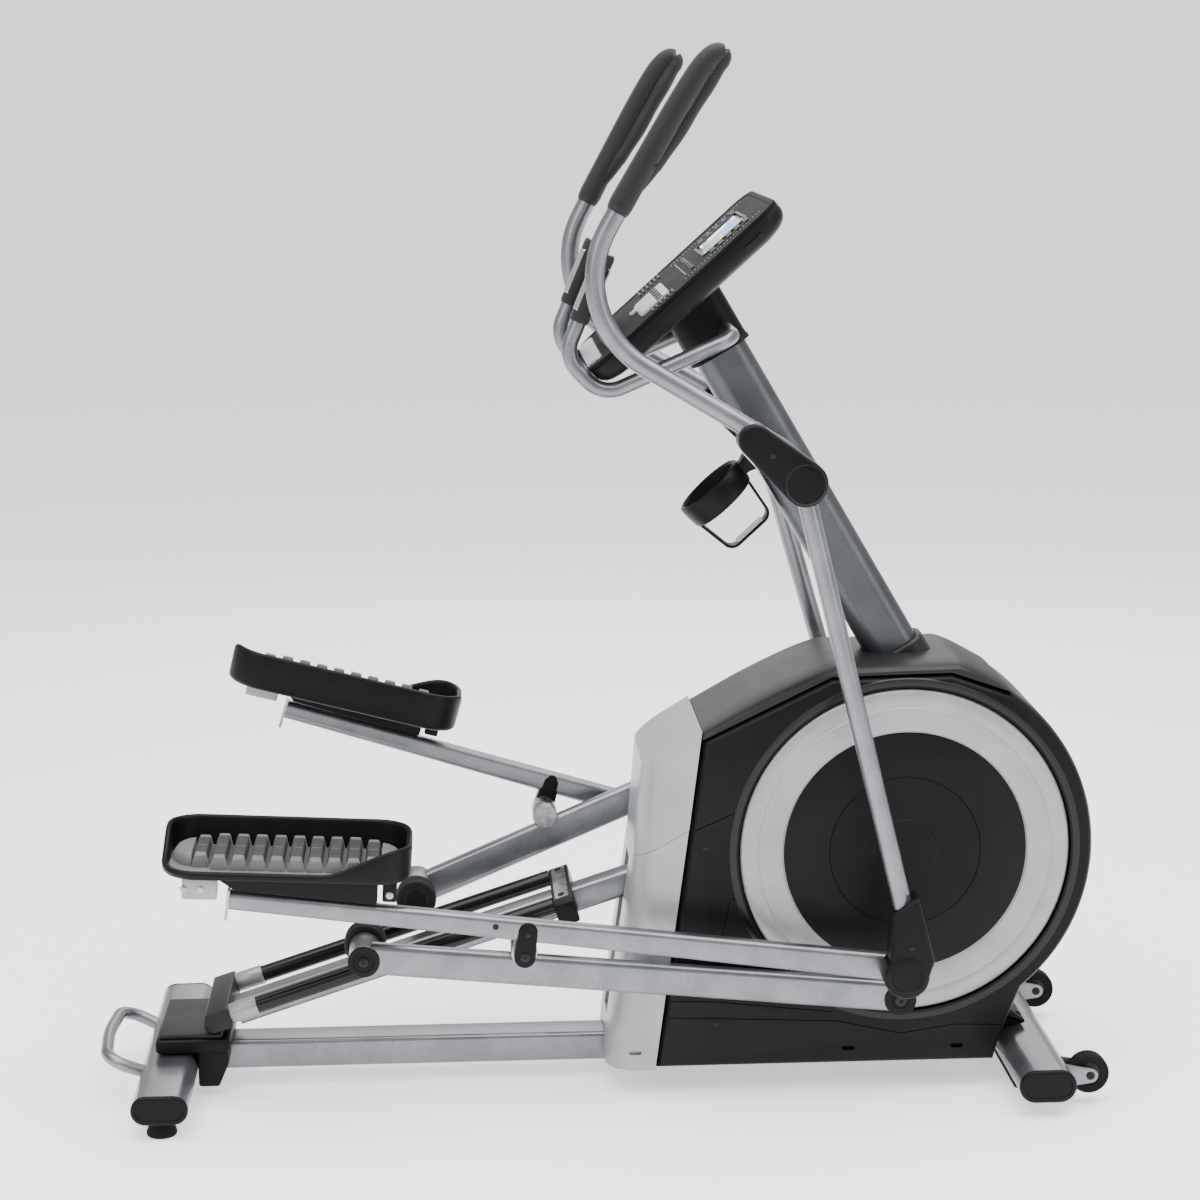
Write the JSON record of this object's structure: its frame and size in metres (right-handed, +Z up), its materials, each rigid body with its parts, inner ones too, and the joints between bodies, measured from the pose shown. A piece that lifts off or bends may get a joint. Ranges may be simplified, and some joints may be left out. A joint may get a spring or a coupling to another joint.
{
  "type": "elliptical trainer",
  "caption": "Front-drive elliptical trainer: pedals on arms with rollers on an inclined ramp, swinging handles, disc-covered crank, console on a leaning mast.",
  "frame": {"origin": "centre of the bounding box on the floor", "axes": "+X towards the machine's front (the crank housing), +Y towards its left side, +Z up"},
  "size_m": [1.7352, 0.636, 1.7997],
  "materials": {
    "silver_paint": "satin silver powder coat",
    "grey_paint": "satin dark grey powder coat",
    "black_plastic": "fine-textured black plastic",
    "dark_plastic": "fine-textured dark grey plastic",
    "silver_plastic": "satin silver plastic",
    "rubber": "matte black rubber",
    "pad": "light grey tread pad",
    "steel": "turned steel",
    "cast_iron": "machined cast iron",
    "display": "display window"
  },
  "bodies": {
    "frame": {"base_beam": "grey_paint", "rear_stabilizer": "silver_paint", "front_stabilizer": "silver_paint", "rear_cap_right": "dark_plastic", "rear_cap_left": "dark_plastic", "front_cap_right": "dark_plastic", "front_cap_left": "dark_plastic", "front_foot": "rubber", "rear_cover": "black_plastic", "mast": "grey_paint", "core_post": "grey_paint", "housing_right": "black_plastic", "housing_left": "black_plastic", "rear_fairing_upper": "silver_plastic", "rear_fairing_lower": "silver_plastic", "top_cover": "dark_plastic", "console_back": "black_plastic", "console_face": "black_plastic", "display_screen": "display", "pulse_bar": "silver_paint", "pulse_grip_right": "rubber", "pulse_grip_left": "rubber", "bottle_holder": "black_plastic", "drive_belt": "rubber", "brake_magnet": "steel", "lift_motor": "black_plastic"},
    "crank": {"drive_pulley": "steel", "crank_disc_right": "silver_plastic", "crank_disc_left": "silver_plastic"},
    "flywheel": {"flywheel": "cast_iron"},
    "ramp": {"ramp_beam": "silver_paint", "ramp_rail_right": "grey_paint", "ramp_rail_left": "grey_paint", "ramp_front_bracket": "black_plastic", "ramp_rear_bracket": "silver_plastic"},
    "start_key": {"start_key": "silver_plastic"},
    "right_carriage": {"roller_axle_right": "steel"},
    "right_roller": {"roller_right": "rubber"},
    "right_roller_arm": {"roller_arm_right": "silver_paint"},
    "right_pedal_arm": {"pedal_arm_right": "silver_paint"},
    "right_pedal": {"pedal_tray_right": "black_plastic", "pedal_pad_right": "pad"},
    "right_handle": {"handle_tube_right": "silver_paint", "handle_elbow_right": "black_plastic", "handle_grip_right": "rubber", "handle_foot_cover_right": "black_plastic"},
    "right_wheel": {"transport_wheel_right": "rubber"},
    "right_foot": {"leveling_foot_right": "rubber"},
    "left_carriage": {"roller_axle_left": "steel"},
    "left_roller": {"roller_left": "rubber"},
    "left_roller_arm": {"roller_arm_left": "silver_paint"},
    "left_pedal_arm": {"pedal_arm_left": "silver_paint"},
    "left_pedal": {"pedal_tray_left": "black_plastic", "pedal_pad_left": "pad"},
    "left_handle": {"handle_tube_left": "silver_paint", "handle_elbow_left": "black_plastic", "handle_grip_left": "rubber", "handle_foot_cover_left": "black_plastic"},
    "left_wheel": {"transport_wheel_left": "rubber"},
    "left_foot": {"leveling_foot_left": "rubber"}
  },
  "joints": [
    {"name": "crank_spin", "type": "hinge", "parent": "frame", "child": "crank", "pos_m": [0.524, 0, 0.432], "axis": [0, 1, 0], "continuous": true},
    {"name": "flywheel_spin", "type": "hinge", "parent": "frame", "child": "flywheel", "pos_m": [0.3, 0, 0.25], "axis": [0, 1, 0], "continuous": true},
    {"name": "ramp_incline", "type": "hinge", "parent": "frame", "child": "ramp", "pos_m": [-0.666, 0, 0.137], "axis": [0, -1, 0], "range_deg": [-15, 0]},
    {"name": "right_handle_swing", "type": "hinge", "parent": "frame", "child": "right_handle", "pos_m": [0.324, -0.29, 1.0945], "axis": [0, -1, 0], "range_deg": [-12.5, 16.5]},
    {"name": "right_roller_travel", "type": "slide", "parent": "ramp", "child": "right_carriage", "axis": [0.9511, 0, 0.309], "range_m": [-0.19, 0.25]},
    {"name": "right_roller_spin", "type": "hinge", "parent": "right_carriage", "child": "right_roller", "pos_m": [-0.40297, -0.083, 0.27083], "axis": [0, 1, 0], "continuous": true},
    {"name": "right_roller_arm_pitch", "type": "hinge", "parent": "right_carriage", "child": "right_roller_arm", "pos_m": [-0.40297, -0.158, 0.27083], "axis": [0, -1, 0], "range_deg": [0, 22]},
    {"name": "right_pedal_arm_pitch", "type": "hinge", "parent": "right_roller_arm", "child": "right_pedal_arm", "pos_m": [-0.13228, -0.214, 0.28802], "axis": [0, -1, 0], "range_deg": [-3, 3]},
    {"name": "right_pedal_tilt", "type": "hinge", "parent": "right_pedal_arm", "child": "right_pedal", "pos_m": [-0.35639, -0.214, 0.39478], "axis": [0, 1, 0], "range_deg": [0, 8]},
    {"name": "right_wheel_spin", "type": "hinge", "parent": "frame", "child": "right_wheel", "pos_m": [0.8335, -0.219, 0.055], "axis": [0, 1, 0], "continuous": true},
    {"name": "right_foot_level", "type": "slide", "parent": "frame", "child": "right_foot", "axis": [0, 0, 1], "range_m": [-0.012, 0]},
    {"name": "left_handle_swing", "type": "hinge", "parent": "frame", "child": "left_handle", "pos_m": [0.324, 0.29, 1.0945], "axis": [0, -1, 0], "range_deg": [-16.5, 12.5]},
    {"name": "left_roller_travel", "type": "slide", "parent": "ramp", "child": "left_carriage", "axis": [0.9511, 0, 0.309], "range_m": [-0.25, 0.19]},
    {"name": "left_roller_spin", "type": "hinge", "parent": "left_carriage", "child": "left_roller", "pos_m": [-0.31581, 0.083, 0.29915], "axis": [0, 1, 0], "continuous": true},
    {"name": "left_roller_arm_pitch", "type": "hinge", "parent": "left_carriage", "child": "left_roller_arm", "pos_m": [-0.31581, 0.158, 0.29915], "axis": [0, -1, 0], "range_deg": [0, 22]},
    {"name": "left_pedal_arm_pitch", "type": "hinge", "parent": "left_roller_arm", "child": "left_pedal_arm", "pos_m": [-0.08217, 0.214, 0.42383], "axis": [0, -1, 0], "range_deg": [-3, 3]},
    {"name": "left_pedal_tilt", "type": "hinge", "parent": "left_pedal_arm", "child": "left_pedal", "pos_m": [-0.28534, 0.214, 0.56647], "axis": [0, 1, 0], "range_deg": [0, 8]},
    {"name": "left_wheel_spin", "type": "hinge", "parent": "frame", "child": "left_wheel", "pos_m": [0.8335, 0.219, 0.055], "axis": [0, 1, 0], "continuous": true},
    {"name": "left_foot_level", "type": "slide", "parent": "frame", "child": "left_foot", "axis": [0, 0, 1], "range_m": [-0.012, 0]},
    {"name": "start_key_press", "type": "slide", "parent": "frame", "child": "start_key", "axis": [-0.6691, 0, 0.7431], "range_m": [-0.0015, 0], "stiffness_N_per_m": 300, "springref_m": 0.003}
  ],
  "couplings": [
    {"joint": "flywheel_spin", "follows": "crank_spin", "ratio": 6.9892},
    {"joint": "right_roller_travel", "follows": "right_handle_swing", "m_per_rad": 0.852},
    {"joint": "right_roller_spin", "follows": "right_handle_swing", "ratio": 28.4},
    {"joint": "right_roller_arm_pitch", "follows": "ramp_incline", "ratio": -1.2997},
    {"joint": "right_pedal_arm_pitch", "follows": "right_handle_swing", "ratio": -0.071},
    {"joint": "left_roller_travel", "follows": "right_handle_swing", "m_per_rad": -0.862},
    {"joint": "left_roller_spin", "follows": "right_handle_swing", "ratio": -28.733},
    {"joint": "left_roller_arm_pitch", "follows": "ramp_incline", "ratio": -1.4091},
    {"joint": "left_pedal_arm_pitch", "follows": "right_handle_swing", "ratio": 0.158},
    {"joint": "left_handle_swing", "follows": "right_handle_swing", "ratio": -1}
  ]
}
